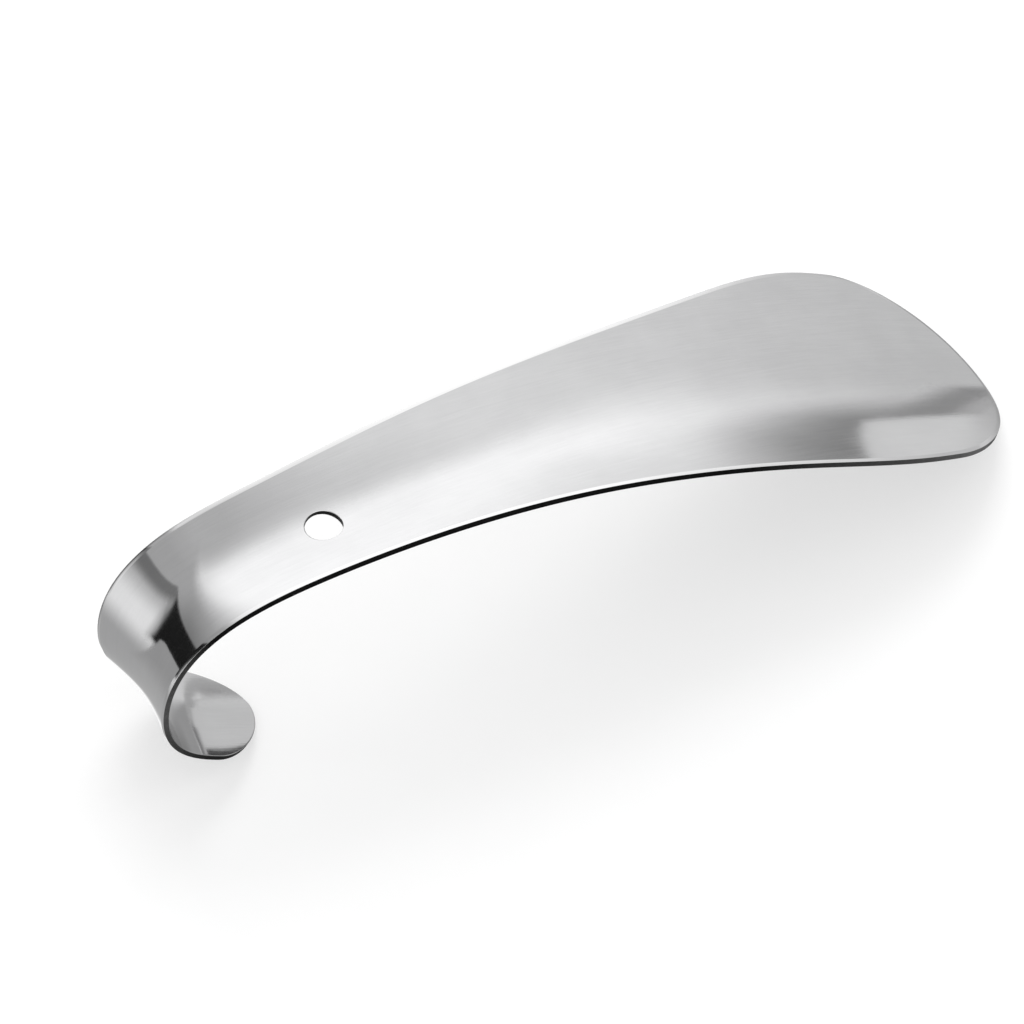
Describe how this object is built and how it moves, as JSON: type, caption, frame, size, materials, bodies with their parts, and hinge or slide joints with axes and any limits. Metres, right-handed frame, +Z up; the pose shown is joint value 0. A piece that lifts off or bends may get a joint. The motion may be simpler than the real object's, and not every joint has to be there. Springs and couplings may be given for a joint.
{
  "type": "shoehorn",
  "caption": "One-piece sheet steel shoehorn: a wide dished blade, a curved channel handle with a punched hanging hole, and an end curled into a hook.",
  "frame": {"origin": "on the table under the middle of the shoehorn's length, as it lies dish upward on its hook lip and blade end", "axes": "+X along the table from the curled hook towards the blade end, +Y across the sheet, +Z up; the part is symmetric about the plane Y = 0"},
  "size_m": [0.1522, 0.0446, 0.0387],
  "materials": {
    "polished_steel": "bright finely brushed stainless steel, tumbled edges"
  },
  "bodies": {
    "root": {"steel_shoehorn": "polished_steel"}
  },
  "joints": []
}
